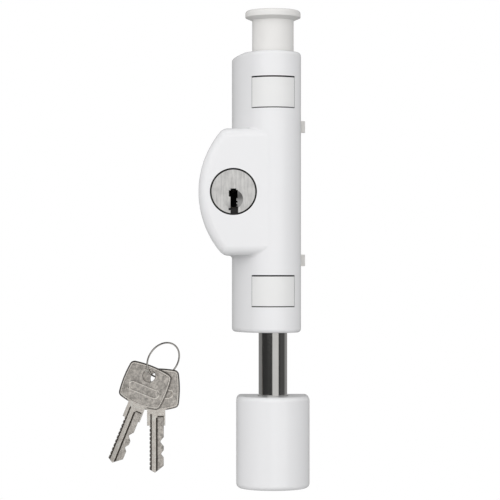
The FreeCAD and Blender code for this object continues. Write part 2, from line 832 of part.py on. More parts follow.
def ring(label, inner, outer, low, high):
    tube = cut(
        cylinder(outer, low, high, y=-s.axis_depth),
        cylinder(inner, low - overcut, high + overcut, y=-s.axis_depth),
    )
    return node(tube, label)


def bolt_guides():
    fit = shaft_bore - s.seat_gap
    ring("guide_bush", s.bolt_radius + s.run_gap, fit, case_bottom + s.bush_recess, bush_top)
    ring("stop_washer", s.bolt_radius + s.bolt_gap, fit, ledge, ledge + s.washer_thickness)
    groove_fit = s.bolt_radius - s.ring_groove + s.seat_gap
    mouth = s.bolt_radius / 2
    clip = cut(
        cylinder(s.ring_radius, ring_bottom, ring_top, y=-s.axis_depth),
        cylinder(groove_fit, ring_bottom - overcut, ring_top + overcut, y=-s.axis_depth),
        box((-mouth, mouth), (-s.axis_depth, 0), (ring_bottom - overcut, ring_top + overcut)),
    )
    node(clip, "stop_ring")


# Keyed cylinder


def keyway():
    """The keyway's section, open at the bottom of the plug."""
    bottom = -s.face_radius - 1
    limits = (face_front - overcut, barrel_back + overcut)
    half = s.keyway_width / 2
    slots = [box((cylinder_x - half, cylinder_x + half), limits, (bottom, s.keyway_top))]
    for side, drop, height, depth in WARDS:
        reach = cylinder_x + side * (half + depth)
        span = (reach, cylinder_x) if side < 0 else (cylinder_x, reach)
        slots.append(box(span, limits, (-drop - height / 2, height / 2 - drop)))
    return slots


def cylinder_plug():
    blank = joined(
        cylinder(s.face_radius, face_front, face_back, "Y", x=cylinder_x),
        cylinder(s.barrel_radius, face_back, barrel_back, "Y", x=cylinder_x),
    )
    hollow = cone(
        s.keyhole_radius,
        s.keyhole_floor,
        face_front,
        face_front + s.keyhole_depth,
        "Y",
        x=cylinder_x,
        z=-s.keyhole_drop,
    )
    chamber_radius = s.pin_radius + s.seat_gap
    chamber_top = s.barrel_radius + 1
    chambers = [cylinder(chamber_radius, 0, chamber_top, x=cylinder_x, y=spot) for spot in pin_places]
    crank_hole = cylinder(
        s.crank_radius + s.seat_gap,
        barrel_back - s.crank_depth,
        barrel_back + overcut,
        "Y",
        x=crank_x,
        z=crank_reach,
    )
    groove_floor = s.barrel_radius - s.plug_clip_groove
    groove = cut(
        cylinder(s.barrel_radius + overcut, clip_front, clip_back, "Y", x=cylinder_x),
        cylinder(groove_floor, clip_front - overcut, clip_back + overcut, "Y", x=cylinder_x),
    )
    node(cut(blank, hollow, crank_hole, groove, *keyway(), *chambers), "cylinder_plug")


def plug_fittings():
    """Crank pin that moves the slider, and the clip that holds the plug in its housing."""
    pin = cylinder(
        s.crank_radius,
        barrel_back - s.crank_depth + s.seat_gap,
        barrel_back + s.crank_length,
        "Y",
        x=crank_x,
        z=crank_reach,
    )
    node(pin, "crank_pin")
    inner = s.barrel_radius - s.plug_clip_groove + s.seat_gap
    half_mouth = inner * 0.8
    clip = cut(
        cylinder(s.plug_clip_radius, clip_front, clip_back, "Y", x=cylinder_x),
        cylinder(inner, clip_front - overcut, clip_back + overcut, "Y", x=cylinder_x),
        box(
            (cylinder_x - half_mouth, cylinder_x + half_mouth),
            (clip_front - overcut, clip_back + overcut),
            (-s.plug_clip_radius - overcut, 0),
        ),
    )
    node(clip, "plug_clip")


def cylinder_housing():
    half_tower = s.tower_width / 2
    half_ear = s.ear_width / 2
    blank = joined(
        cylinder(s.housing_radius, housing_front, housing_back, "Y", x=cylinder_x),
        box(
            (cylinder_x - half_tower, cylinder_x + half_tower),
            (housing_front, housing_back),
            (0, s.tower_height),
        ),
        box(
            (cylinder_x - half_ear, cylinder_x + half_ear),
            (housing_back - s.ear_thickness + s.seat_gap, housing_back),
            (-s.ear_reach, 0),
        ),
    )
    strip_half = s.strip_width / 2 + s.seat_gap
    strip_low = s.tower_height - s.strip_thickness
    bore_radius = s.barrel_radius + s.run_gap
    hollows = [
        cylinder(bore_radius, housing_front - overcut, housing_back + overcut, "Y", x=cylinder_x),
        cylinder(
            s.small_screw_radius + s.seat_gap, -s.axis_depth, 0, "Y", x=cylinder_x, z=-s.ear_hole_drop
        ),
        box(
            (cylinder_x - strip_half, cylinder_x + strip_half),
            (housing_front - overcut, housing_back + overcut),
            (strip_low, s.tower_height + overcut),
        ),
    ]
    for place_y in pin_places:
        hollows.append(cylinder(s.pin_radius + s.seat_gap, 0, s.tower_height, x=cylinder_x, y=place_y))
    node(cut(blank, *hollows), "cylinder_housing")
    half = s.strip_width / 2
    strip = box(
        (cylinder_x - half, cylinder_x + half),
        (housing_front, housing_back),
        (strip_low, s.tower_height),
    )
    node(strip, "spring_strip")


def lock_pins():
    top = shear_height - s.shear_gap
    key_pins = []
    driver_pins = []
    for place_y, length in zip(pin_places, KEY_PIN_LENGTHS):
        tip_top = top - length + s.pin_tip
        key_pins.append(cylinder(s.pin_radius, tip_top, top, x=cylinder_x, y=place_y))
        key_pins.append(cone(s.pin_radius / 2, s.pin_radius, top - length, tip_top, x=cylinder_x, y=place_y))
        low = shear_height + s.shear_gap
        driver_pins.append(cylinder(s.pin_radius, low, low + s.driver_length, x=cylinder_x, y=place_y))
    node(joined(*key_pins), "key_pins")
    node(joined(*driver_pins), "driver_pins")


def coil(radius, wire, height, turns):
    """A spring about the vertical axis: pairs of arcs that follow the helix, swept with the wire."""
    steps = int(turns) * 4
    rise = height / (2 * math.pi * turns)

    def helix(angle):
        spot = Vector(radius * math.cos(angle), radius * math.sin(angle), rise * angle)
        heading = Vector(-radius * math.sin(angle), radius * math.cos(angle), rise)
        return spot, heading.normalize()

    def arc(start, heading, finish):
        chord = finish - start
        normal = heading.cross(chord).normalize()
        inward = normal.cross(heading)
        bend = chord.Length ** 2 / (2 * chord.dot(inward))
        centre = start + inward * bend
        middle = start + chord * 0.5 - centre
        return Part.Arc(start, centre + middle.normalize() * bend, finish).toShape()

    edges = []
    for step in range(steps):
        start, heading = helix(step * math.pi / 2)
        finish, ending = helix((step + 1) * math.pi / 2)
        chord = finish - start
        turn = 2 - 2 * heading.dot(ending)
        lean = chord.dot(heading + ending)
        reach = (-lean + math.sqrt(lean ** 2 + turn * chord.Length ** 2)) / turn
        joint = (start + heading * reach + finish - ending * reach) * 0.5
        edges.append(arc(start, heading, joint))
        edges.append(arc(joint, (finish - start - (heading + ending) * reach).normalize(), finish))
    section = Part.Wire(Part.Circle(helix(0)[0], helix(0)[1], wire).toShape())
    return Part.Wire(edges).makePipeShell([section], True, False)


def pin_springs():
    """Springs between the driver pins and the strip, as hidden wire coils."""
    end_gap = s.spring_wire + s.seat_gap
    low = shear_height + s.shear_gap + s.driver_length + end_gap
    high = s.tower_height - s.strip_thickness - end_gap
    height = (high - low).value
    spring = coil(s.spring_radius.value, s.spring_wire.value, height, s.spring_turns.value)
    copies = []
    for place_y in pin_places:
        copy = spring.copy()
        copy.translate(Vector(0, place_y.value, 0))
        copies.append(copy)
    feature = doc.addObject("Part::Feature", "springs")
    feature.Shape = Part.makeCompound(copies)
    place(feature, x=cylinder_x, z=low)
    node(feature, "pin_springs")


def cylinder_screw():
    at_ear = {"along": "Y", "x": cylinder_x, "z": -s.ear_hole_drop}
    shank = cylinder(s.small_screw_radius, housing_back - s.ear_screw_length, housing_back, **at_ear)
    head = cylinder(s.small_head_radius, housing_back, housing_back + s.small_head_height, **at_ear)
    node(joined(shank, head), "cylinder_screw")


def locking_slider():
    half = s.slider_half_height
    plate = box((slider_left, nose_tip), (slider_front, slider_back), (-half, half))
    nose = box(
        (nose_tip - s.nose_width, nose_tip),
        (-nose_reach, slider_back),
        (-s.nose_half_height, s.nose_half_height),
    )
    slot = box(
        (crank_x - slot_half_width, crank_x + slot_half_width),
        (slider_front - overcut, slider_back + overcut),
        (crank_reach - slot_half_width, s.crank_throw + slot_half_width),
    )
    node(cut(joined(plate, nose), slot), "locking_slider")


# Keeper


def keeper_form(name, radius, low, high, edge):
    """An upright block with a round front and a flat back against the wall."""
    owner = body(name)
    drawing = sketch_on(owner, "XY_Plane", low)
    corners = ((radius, 0), (radius, -s.axis_depth), (-radius, -s.axis_depth), (-radius, 0))
    outline(drawing, corners, {1: (0, -s.axis_depth, -1, "y")})
    pad(owner, drawing, high - low)

    def end_edge(one):
        return (level(one, low) or level(one, high)) and one.BoundBox.YMin < -1e-4

    if edge is not None:
        round_edges(owner, edge, end_edge)
    return owner


def keeper():
    wall = s.keeper_wall
    low = keeper_bottom + wall
    high = keeper_top - wall
    bore = s.bolt_radius + s.bolt_gap
    inner = s.keeper_radius - wall
    upper_hole = keeper_top - s.keeper_fix_drop
    lower_hole = upper_hole - s.keeper_fix_spacing
    cover = cut(
        keeper_form("cover_outside", s.keeper_radius, keeper_bottom, keeper_top, s.keeper_edge),
        keeper_form("cover_inside", inner, low, high, None),
        cylinder(bore, high - overcut, keeper_top + overcut, y=-s.axis_depth),
    )
    node(cover, "keeper_cover")
    gap = s.seat_gap
    block = cut(
        keeper_form("block_form", inner - gap, low + gap, high - gap, None),
        cylinder(bore, keeper_top - s.keeper_bore, keeper_top, y=-s.axis_depth),
        cylinder(s.fix_hole_radius, -s.axis_depth, overcut, "Y", z=upper_hole),
        cylinder(s.fix_head_radius, -s.axis_depth - inner - overcut, -s.axis_depth, "Y", z=upper_hole),
        cylinder(s.fix_hole_radius, -s.axis_depth, overcut, "Y", z=lower_hole),
        cylinder(s.fix_head_radius, -s.axis_depth - inner - overcut, -s.keeper_web, "Y", z=lower_hole),
    )
    node(block, "keeper_block")


# Keys and their ring


def bow_form(name, margin, front_face, thickness):
    """A slab with the bow's outline, drawn in by a margin; the ring hole is at the origin."""
    side_centre = s.bow_half_width - s.bow_side_radius
    side_radius = s.bow_side_radius - margin
    high = s.bow_top - margin
    low = margin - s.bow_bottom

    def half_width(height):
        rise = height + s.bow_widest
        return side_centre + root(side_radius * side_radius - rise * rise)

    def arc_radius(half, rise):
        return (half * half + rise * rise) / (2 * rise)

    half_top = half_width(high)
    half_bottom = half_width(low)
    top_centre = high + s.bow_top_rise - arc_radius(half_top, s.bow_top_rise)
    bottom_centre = low - s.bow_bottom_drop + arc_radius(half_bottom, s.bow_bottom_drop)
    owner = body(name)
    drawing = sketch_on(owner, "XZ_Plane", -front_face - thickness)
    corners = ((-half_top, high), (half_top, high), (half_bottom, low), (-half_bottom, low))
    bends = {
        0: (0, top_centre, -1, "y"),
        1: (side_centre, -s.bow_widest, -1, "y"),
        2: (0, bottom_centre, -1, "y"),
        3: (-side_centre, -s.bow_widest, -1, "both"),
    }
    outline(drawing, corners, bends)
    pad(owner, drawing, thickness)

    def corner_edge(edge):
        return edge.BoundBox.XLength < 1e-4 and edge.BoundBox.ZLength < 1e-4

    return round_edges(owner, s.bow_corner - margin, corner_edge)


def blade_form(name):
    """Neck and blade: a row of small cuts down the left side and deep cuts down the right."""
    half = s.blade_half_width
    shoulder = -s.neck_end
    corners = [
        (-s.neck_left, 0),
        (s.neck_right, 0),
        (s.neck_right, shoulder),
        (half, shoulder),
    ]
    for middle, depth in KEY_CUTS:
        flat = s.cut_flat / 2
        flank = flat + depth * s.cut_slope
        corners += [
            (half, flank - middle),
            (half - depth, flat - middle),
            (half - depth, -flat - middle),
            (half, -flank - middle),
        ]
    corners += [
        (half, s.tip_right_rise - s.blade_end),
        (-s.tip_left, -s.blade_end),
        (-half, s.tip_left_rise - s.blade_end),
    ]
    for count in reversed(range(NOTCHES)):
        middle = shoulder - s.notch_start - s.notch_pitch * count
        corners += [
            (-half, middle - s.notch_half),
            (s.notch_depth - half, middle),
            (-half, middle + s.notch_half),
        ]
    corners += [
        (-half, shoulder),
        (-s.neck_left, shoulder),
    ]
    owner = body(name)
    drawing = outline(sketch_on(owner, "XZ_Plane", -(s.key_thickness / 2)), corners)
    return pad(owner, drawing, s.key_thickness)


def key(label, x, y, z, turn):
    half_thickness = s.key_thickness / 2
    blank = joined(
        bow_form(label + "_bow", 0, -half_thickness, s.key_thickness),
        blade_form(label + "_blade"),
    )
    tools = [cylinder(s.key_hole, -s.key_thickness, s.key_thickness, "Y")]
    half = s.groove_width / 2
    for side in (-1, 1):
        face = side * half_thickness

        def depth(amount):
            limits = (face, face - side * amount)
            return limits if side < 0 else limits[::-1]

        field_front = depth(s.bow_rim_height)[0]
        tools.append(bow_form(label + "_field", s.bow_rim, field_front, s.bow_rim_height))
        for left, right, deep, start in (
            (s.step_left, s.blade_half_width, s.step_depth, s.step_start),
            (s.step_left, s.neck_right + overcut, s.step_depth, s.neck_end),
            (-s.groove_left - half, half - s.groove_left, s.groove_depth, s.groove_start),
            (-s.deep_groove_left, s.step_left, s.deep_groove_depth, s.deep_groove_start),
        ):
            tools.append(box((left, right), depth(deep), (-s.blade_end - overcut, -start)))
    shape = place(cut(blank, *tools), x, y, z, turn)
    return node(shape, label)


def keys_on_ring():
    lean = s.key_ring_tilt
    turn = s.key_ring_angle
    front_key = key(
        "key_front",
        s.key_ring_x - s.front_key_side,
        s.key_ring_y - s.front_key_ahead,
        s.key_ring_z - s.front_key_drop,
        Rotation(Vector(0, 1, 0), s.front_key_tilt.value),
    )
    front_key.setExpression("Placement.Rotation.Angle", s.front_key_tilt.text)
    key(
        "key_back",
        s.key_ring_x - s.back_key_side,
        s.key_ring_y + s.back_key_behind,
        s.key_ring_z - s.back_key_drop,
        Rotation(),
    )
    torus = doc.addObject("Part::Torus", "Torus")
    bind(torus, Radius1=s.key_ring_radius, Radius2=s.key_ring_wire)
    normal = Vector(
        -(sine(lean) * sine(turn)).value,
        cosine(turn).value,
        (cosine(lean) * sine(turn)).value,
    )
    place(torus, s.key_ring_x, s.key_ring_y, s.key_ring_z, Rotation(Vector(0, 0, 1), normal))
    node(torus, "key_ring")


build = (
    body_casing,
    back_plate,
    lambda: cap("upper_cap", fix_heights[0]),
    lambda: cap("lower_cap", fix_heights[1]),
    knob,
    bolt,
    bolt_guides,
    cylinder_plug,
    plug_fittings,
    cylinder_housing,
    lock_pins,
    pin_springs,
    cylinder_screw,
    locking_slider,
    keeper,
    keys_on_ring,
)
for step in build:
    step()
doc.recompute()


# Check every object, then write each sub-part


def check(document, pieces):
    for thing in document.Objects:
        if "Invalid" in thing.State or "Error" in thing.State:
            raise RuntimeError(f"{thing.Label} failed: {thing.State}")
    for piece in pieces:
        if piece.Shape.isNull() or not piece.Shape.isValid():
            raise RuntimeError(f"{piece.Label} has no valid shape")


check(doc, nodes)
os.makedirs("parts", exist_ok=True)
for piece in nodes:
    piece.Shape.exportStep(f"parts/{piece.Label}.step")
    print(f"{piece.Label}: {len(piece.Shape.Solids)} solids, {piece.Shape.Volume:.1f} mm3")
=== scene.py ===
import json
import math

import bmesh
import bpy
from bpy.props import FloatProperty, FloatVectorProperty, PointerProperty
from mathutils import Matrix, Vector


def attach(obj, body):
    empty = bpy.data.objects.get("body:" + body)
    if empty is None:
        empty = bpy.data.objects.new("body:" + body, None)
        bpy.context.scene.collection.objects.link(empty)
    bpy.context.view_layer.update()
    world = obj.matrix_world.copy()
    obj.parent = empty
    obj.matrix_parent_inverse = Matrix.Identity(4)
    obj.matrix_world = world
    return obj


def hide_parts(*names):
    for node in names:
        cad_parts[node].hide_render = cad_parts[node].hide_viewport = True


bl_info = {
    "name": "Window Bolt Lock",
    "version": (1, 0, 0),
    "blender": (4, 5, 0),
    "location": "3D View > Sidebar > Window Lock",
    "description": "Shows a window lock with its keeper and keys, and the studio it stands in",
    "category": "Object",
}

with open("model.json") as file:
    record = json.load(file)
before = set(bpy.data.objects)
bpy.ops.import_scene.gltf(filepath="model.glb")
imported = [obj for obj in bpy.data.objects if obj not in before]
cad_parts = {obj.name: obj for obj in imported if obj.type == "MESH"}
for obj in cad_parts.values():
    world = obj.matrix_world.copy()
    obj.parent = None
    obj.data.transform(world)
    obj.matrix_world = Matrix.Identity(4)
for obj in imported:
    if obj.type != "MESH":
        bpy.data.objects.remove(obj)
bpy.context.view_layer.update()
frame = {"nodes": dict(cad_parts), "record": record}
MM = 0.001

# Places on the lock in millimetres, for the painted shade in its bores, gaps and keyway and on its
# hollow.
# A pair of numbers is a step from the surface's own finish to the painted shade, and the painted shade
# of the hollow has the strengths at both ends of its step too.

BOLT_AXIS = (0.0, -13.0, 0.0)
ACROSS_BOLT = (1.0, 1.0, 0.0)
COLUMN_SHADE_EDGE = (11.55, 11.66)
COLUMN_ENDS = (56.0, 56.2)
BOLT_BORE = (9.27, 9.36)
KEEPER_BORE = (6.45, 6.55)
SLOTS_MIDDLE = 6.65
SLOTS_REACH = 41.6
SLOT_HALF = (0.3, 0.36)
SLOT_WALL = (11.74, 11.78)
CYLINDER_AXIS = (-16.5, 0.0, 0.0)
ACROSS_CYLINDER = (1.0, 0.0, 1.0)
CYLINDER_BORE = (9.74, 9.8)
HOUSING_BORE = (6.5, 6.6)
PLUG_RIM = (9.04, 9.1)
PLUG_BACK = (-23.45, -23.3)
HOLLOW_MIDDLE = (-16.5, 0.0, -3.2)
HOLLOW_RIM = (3.94, 4.02)
HOLLOW_SHADE = (-2.0, 1.5, 0.2, 1.0)
KEYWAY_HALF = (1.2, 1.27)
KEYWAY_MOUTH = (-24.5, -24.4)

# Angles in degrees: the least one of a sharp edge, the same for the plug's shallow hollow, and the most
# between faces that are one flat face

SHARP = 32.0
HOLLOW_SHARP = 13.0
FLAT = 0.3
DOUBLES = 0.002 * MM

# Material slots of a key

BLANK, FIELD, GROOVE, SIDE, RIM, EDGE, NOTCHES = range(7)

# Places on a key that hangs straight down from its ring hole, and depths below its faces

HOLE_REACH = 3.2 * MM
RIM_END = -13.4 * MM
OUTLINE_END = -13.6 * MM
BOW_END = -14 * MM
GROOVES_START = (-17 * MM, -15 * MM)
NOTCHES_TOP = -19 * MM
NOTCHES_RIGHT = -2.6 * MM
SHALLOW_GROOVE_RIGHT = -1.5 * MM
SHALLOW_GROOVE = 0.3 * MM
DEEP_GROOVE = 0.5 * MM
FLUSH = 0.1 * MM
FIELD_DEPTH = 0.15 * MM
SIDE_HALF = 0.3 * MM
FRAME_RAISED = 0.15 * MM
FRAME_SUNK = 0.03 * MM
FRAME_STEPS = 12
FACING = 0.9
NEAR = 0.01 * MM

# What the lock's gloss shows, by bearing in degrees from straight ahead and by height from -1 to 1

CARD_LEFT = (-7.5, -1.5)
CARD_LEFT_ABOVE = (-50.0, -42.0)
CARD_RIGHT = (42.0, 50.0)
CARD_LEVEL = 0.74
ROOM_LEVEL = 0.04
BACKDROP = ((-106.0, -94.0, 0.24, 0.0), (46.0, 70.0, 0.0, 0.05), (98.0, 122.0, 0.0, 0.26))
HORIZON = (-0.01, 0.03)
CARD_TOP = (0.35, 0.7, 1.0, 0.15)

# The direction of the light ahead, seen from above

TOWARDS_LIGHT = (-0.14, -0.99)

# The floor: its size and where it turns white, in metres from its middle, and its levels

FLOOR_RADIUS = 8.0
FLOOR_WHITE = (0.35, 1.3)
FLOOR_FAR = (0.3, 1.0)
FLOOR_LIT = 0.62
FLOOR_SEEN = 0.9
FLOOR_GLOSS = 0.7

# The camera's frame, in pixels and in millimetres

PICTURE_WIDTH = 500
SENSOR_WIDTH = 36.0


# Shader maths


class Signal:
    """A shader socket that Python's operators work on."""

    def __init__(self, shader, socket):
        self.shader = shader
        self.socket = socket

    def join(self, operation, first, second):
        return self.shader.node("ShaderNodeMath", {"operation": operation}, {0: first, 1: second})

    def __add__(self, other):
        return self.join("ADD", self, other)

    def __radd__(self, other):
        return self.join("ADD", other, self)

    def __sub__(self, other):
        return self.join("SUBTRACT", self, other)

    def __rsub__(self, other):
        return self.join("SUBTRACT", other, self)

    def __mul__(self, other):
        return self.join("MULTIPLY", self, other)

    def __rmul__(self, other):
        return self.join("MULTIPLY", other, self)

    def larger(self, other):
        return self.join("MAXIMUM", self, other)

    def size(self):
        return self.shader.node("ShaderNodeMath", {"operation": "ABSOLUTE"}, {0: self})

    def ramp(self, start, end, low=0.0, high=1.0):
        """Goes smoothly from low to high as this goes from start to end."""
        limits = {"Value": self, "From Min": start, "From Max": end, "To Min": low, "To Max": high}
        return self.shader.node("ShaderNodeMapRange", {"interpolation_type": "SMOOTHSTEP"}, limits)

    def within(self, step):
        """1 below a step and 0 above it."""
        return self.ramp(*step, 1.0, 0.0)


class Shader:
    """Builds one node tree."""

    def __init__(self, tree):
        self.tree = tree
        tree.nodes.clear()

    def node(self, kind, settings=None, inputs=None, output=0):
        made = self.tree.nodes.new(kind)
        for name, value in (settings or {}).items():
            setattr(made, name, value)
        for name, value in (inputs or {}).items():
            if isinstance(value, Signal):
                self.tree.links.new(value.socket, made.inputs[name])
            else:
                made.inputs[name].default_value = value
        return Signal(self, made.outputs[output]) if len(made.outputs) else made

    def place(self, stretch=(1.0, 1.0, 1.0)):
        """Object coordinates in millimetres, stretched along the axes."""
        where = self.node("ShaderNodeTexCoord", output="Object")
        scale = tuple(1000.0 * part for part in stretch)
        return self.node("ShaderNodeVectorMath", {"operation": "MULTIPLY"}, {0: where, 1: scale})

    def axis(self, where, index):
        """One coordinate of a place."""
        return self.node("ShaderNodeSeparateXYZ", None, {0: where}, output=index)

    def reach(self, where, centre, axes):
        """Distance from a centre, measured along some of the axes."""
        moved = self.node("ShaderNodeVectorMath", {"operation": "SUBTRACT"}, {0: where, 1: centre})
        flat = self.node("ShaderNodeVectorMath", {"operation": "MULTIPLY"}, {0: moved, 1: axes})
        return self.node("ShaderNodeVectorMath", {"operation": "LENGTH"}, {0: flat}, output="Value")

    def noise(self, where, scale, detail, roughness):
        inputs = {"Vector": where, "Scale": scale, "Detail": detail, "Roughness": roughness}
        return self.node("ShaderNodeTexNoise", None, inputs)

    def blend(self, factor, first, second):
        """A colour between two colours."""
        settings = {"data_type": "RGBA", "clamp_factor": True}
        return self.node("ShaderNodeMix", settings, {0: factor, 6: first, 7: second}, output=2)

    def bump(self, height, distance, strength):
        inputs = {"Height": height, "Distance": distance, "Strength": strength}
        return self.node("ShaderNodeBump", None, inputs)


def shade(colour, factor=1.0):
    """A colour made darker or lighter, with its alpha at 1."""
    return tuple(channel * factor for channel in colour[:3]) + (1.0,)


def finish(name):
    """A new material's node builder, and the function that sets the sockets of its Principled shader."""
    material = bpy.data.materials.new(name)
    material.use_nodes = True
    shader = Shader(material.node_tree)

    def surface(**inputs):
        named = {key.replace("_", " ").title().replace("Ior", "IOR"): inputs[key] for key in inputs}
        principled = shader.node("ShaderNodeBsdfPrincipled", None, named)
        shader.node("ShaderNodeOutputMaterial", None, {"Surface": principled})
        return material

    return shader, surface


def powder_coat(name, colour, recess_shade, inside):
    """Glossy white paint with a faint orange peel; painted shade, a near-black mottled colour with a
    dull gloss, where inside gives 1.
    """
    shader, surface = finish(name)
    where = shader.place()
    peel = shader.noise(where, scale=0.75, detail=2.0, roughness=0.45)
    cloud = shader.noise(where, scale=0.06, detail=3.0, roughness=0.5)
    tone = shader.blend(cloud.ramp(0.3, 0.7), shade(colour, 0.992), shade(colour, 1.0))
    # Painted shade: bores and gaps get a near-black mottled colour in place of the shade that falls
    # there.
    recess_shade_noise = shader.noise(where, scale=1.6, detail=3.0, roughness=0.6)
    casting = shader.blend(recess_shade_noise, shade(recess_shade, 0.8), shade(recess_shade, 1.2))
    recess_shade_mask = inside(shader, where)
    return surface(
        base_color=shader.blend(recess_shade_mask, tone, casting),
        roughness=0.16 + cloud * 0.06 + recess_shade_mask * 0.5,
        specular_ior_level=0.6,
        normal=shader.bump(peel, 0.006 * MM, strength=0.5),
    )


def inside_casing(shader, where):
    """Mask of painted shade: 1 on the walls of the casing's bores and of the seats of its screw covers.
    """
    from_bolt = shader.reach(where, BOLT_AXIS, ACROSS_BOLT)
    height = shader.axis(where, 2)
    in_column = from_bolt.within(COLUMN_SHADE_EDGE) * height.size().within(COLUMN_ENDS)
    in_cylinder = shader.reach(where, CYLINDER_AXIS, ACROSS_CYLINDER).within(CYLINDER_BORE)
    from_slot = ((height - SLOTS_MIDDLE).size() - SLOTS_REACH).size()
    at_slot = from_slot.within(SLOT_HALF) * from_bolt.within(SLOT_WALL)
    return in_column.larger(in_cylinder).larger(from_bolt.within(BOLT_BORE)).larger(at_slot)


def inside_keeper(shader, where):
    """Mask of painted shade: 1 on the wall of the keeper's hole and behind its cover."""
    return shader.reach(where, BOLT_AXIS, ACROSS_BOLT).within(KEEPER_BORE)


def moulded_plastic(name, colour, roughness):
    """Smooth moulded plastic with a fine grain."""
    shader, surface = finish(name)
    where = shader.place()
    fine = shader.noise(where, scale=3.0, detail=3.0, roughness=0.6)
    cloud = shader.noise(where, scale=0.1, detail=2.0, roughness=0.5)
    tone = shader.blend(cloud.ramp(0.3, 0.7), shade(colour, 0.985), shade(colour, 1.0))
    return surface(
        base_color=tone,
        roughness=roughness + fine * 0.08,
        normal=shader.bump(fine, 0.01 * MM, strength=0.5),
    )


def polished_nickel(name, colour):
    """Bright plated bar with faint polishing lines round it."""
    shader, surface = finish(name)
    lines = shader.noise(shader.place((0.3, 0.3, 6.0)), scale=1.0, detail=3.0, roughness=0.6)
    cloud = shader.noise(shader.place(), scale=0.12, detail=2.0, roughness=0.5)
    tone = shader.blend(cloud.ramp(0.3, 0.7), shade(colour, 0.97), shade(colour, 1.0))
    return surface(
        base_color=tone,
        metallic=1.0,
        roughness=0.07 + lines * 0.05,
        normal=shader.bump(lines, 0.003 * MM, strength=0.4),
    )


def brushed_plug(name, colour, recess_shade):
    """Brushed metal; painted shade, dark and dull, behind its face, round its rim and in its keyway, and
    on the right of its hollow.
    """
    shader, surface = finish(name)
    where = shader.place()
    brushing = shader.noise(shader.place((2.4, 2.4, 0.12)), scale=0.8, detail=4.0, roughness=0.7)
    cloud = shader.noise(where, scale=0.3, detail=3.0, roughness=0.55)
    mix = brushing * 0.65 + cloud * 0.35
    tone = shader.blend(mix.ramp(0.36, 0.62), shade(colour, 0.78), shade(colour, 1.06))
    # Painted shade: the hollow is darkened, more towards its right side.
    hollow = shader.reach(where, HOLLOW_MIDDLE, ACROSS_CYLINDER).within(HOLLOW_RIM)
    sideways = shader.axis(where, 0) - CYLINDER_AXIS[0]
    tone = shader.blend(hollow * sideways.ramp(*HOLLOW_SHADE), tone, shade(colour, 0.6))
    # Painted shade: near black and dull behind the face, round the rim and in the keyway.
    from_axis = shader.reach(where, CYLINDER_AXIS, ACROSS_CYLINDER)
    depth = shader.axis(where, 1)
    in_keyway = sideways.size().within(KEYWAY_HALF) * depth.ramp(*KEYWAY_MOUTH)
    recess_shade_mask = depth.ramp(*PLUG_BACK).larger(from_axis.ramp(*PLUG_RIM)).larger(in_keyway)
    return surface(
        base_color=shader.blend(recess_shade_mask, tone, shade(recess_shade, 0.05)),
        metallic=1.0 - recess_shade_mask,
        specular_ior_level=0.0,
        roughness=0.27 + brushing * 0.16 + recess_shade_mask * 0.4,
        normal=shader.bump(brushing, 0.012 * MM, strength=0.5),
    )


def old_brass(name, colour, recess_shade):
    """Turned brass, with painted shade, near black and dull, where it faces the plug."""
    shader, surface = finish(name)
    where = shader.place()
    turning = shader.noise(shader.place((0.4, 4.0, 0.4)), scale=1.0, detail=3.0, roughness=0.6)
    tone = shader.blend(turning.ramp(0.3, 0.7), shade(colour, 0.85), shade(colour, 1.1))
    # Painted shade on the bore that faces the plug.
    recess_shade_mask = shader.reach(where, CYLINDER_AXIS, ACROSS_CYLINDER).within(HOUSING_BORE)
    return surface(
        base_color=shader.blend(recess_shade_mask, tone, shade(recess_shade)),
        metallic=1.0 - recess_shade_mask,
        roughness=0.3 + turning * 0.15 + recess_shade_mask * 0.3,
        normal=shader.bump(turning, 0.01 * MM, strength=0.5),
    )


def worn_metal(name, colour, roughness, mottle=0.12, depth=0.014 * MM):
    """Metal with fine scratches and cloudy handling marks, whose relief is depth deep."""
    shader, surface = finish(name)
    where = shader.place()
    grain = shader.noise(where, scale=0.75, detail=4.0, roughness=0.75)
    cloud = shader.noise(where, scale=0.28, detail=3.0, roughness=0.6)
    scratches = shader.noise(shader.place((9.0, 3.0, 0.5)), scale=0.7, detail=3.0, roughness=0.7)
    mix = grain * 0.6 + cloud * 0.2 + scratches * 0.2
    dull = shade(colour, 1.0 - mottle)
    bright = shade(colour, 1.0 + mottle / 2)
    tone = shader.blend(mix.ramp(0.36, 0.64), dull, bright)
    return surface(
        base_color=tone,
        metallic=1.0,
        roughness=roughness - 0.06 + cloud * 0.12,
        normal=shader.bump(grain * 0.6 + scratches * 0.4, depth, strength=0.6),
    )


def rubber(name, colour):
    """Matt black rubber."""
    shader, surface = finish(name)
    grain = shader.noise(shader.place(), scale=2.0, detail=3.0, roughness=0.6)
    return surface(
        base_color=shader.blend(grain, shade(colour, 0.8), shade(colour, 1.2)),
        roughness=0.7 + grain * 0.15,
        normal=shader.bump(grain, 0.02 * MM, strength=0.5),
    )


# Shapes


def round_edges(shape, edges, width, segments=2, finish=-1):
    """Rounds edges; the new faces get the material slot that finish gives."""
    bmesh.ops.bevel(
        shape,
        geom=edges,
        offset=width,
        offset_type="OFFSET",
        segments=segments,
        profile=0.5,
        affect="EDGES",
        clamp_overlap=True,
        material=finish,
    )


def keen_edges(shape):
    """The edges that a finish rounds."""
    limit = math.radians(SHARP)
    return [e for e in shape.edges if len(e.link_faces) == 2 and e.calc_face_angle() > limit]


def node_copy(name, edge=0.0):
    """A CAD node's mesh with its doubles merged and its sharp edges rounded."""
    shape = bmesh.new()
    shape.from_mesh(frame["nodes"][name].data)
    bmesh.ops.remove_doubles(shape, verts=shape.verts, dist=DOUBLES)
    bmesh.ops.dissolve_limit(
        shape, angle_limit=math.radians(FLAT), verts=shape.verts, edges=shape.edges, delimit=set()
    )
    if edge:
        round_edges(shape, keen_edges(shape), edge)
    return shape


